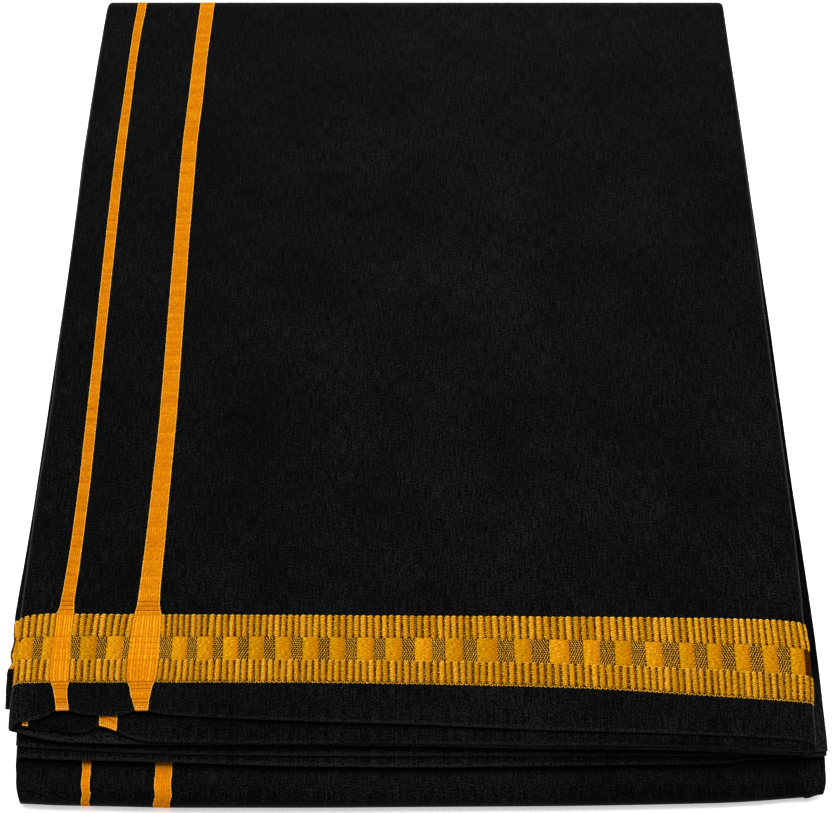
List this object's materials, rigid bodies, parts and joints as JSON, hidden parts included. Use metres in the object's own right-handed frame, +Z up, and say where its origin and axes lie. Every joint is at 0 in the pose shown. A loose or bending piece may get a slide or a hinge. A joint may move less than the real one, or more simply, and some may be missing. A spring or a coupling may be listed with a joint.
{
  "type": "dhoti cloth",
  "caption": "Black cotton dhoti cloth folded into a flat layered stack, with orange stripes woven along one side and a gold border woven across its end.",
  "frame": {"origin": "centre of the underside of the folded cloth, on the surface it lies on", "axes": "+Y from the near edge with the gold border to the far fold, +X to the right seen from the near edge, +Z up"},
  "size_m": [0.3204, 0.455, 0.02],
  "materials": {
    "bordered_cotton": "matte black plain weave with orange stripes and a satin gold border",
    "black_cotton": "matte black plain weave"
  },
  "bodies": {
    "root": {"top_panel": "bordered_cotton", "inner_plies": "bordered_cotton", "second_end": "bordered_cotton", "middle_upper": "black_cotton", "middle_lower": "black_cotton", "core": "black_cotton", "bottom_panel": "bordered_cotton"}
  },
  "joints": []
}
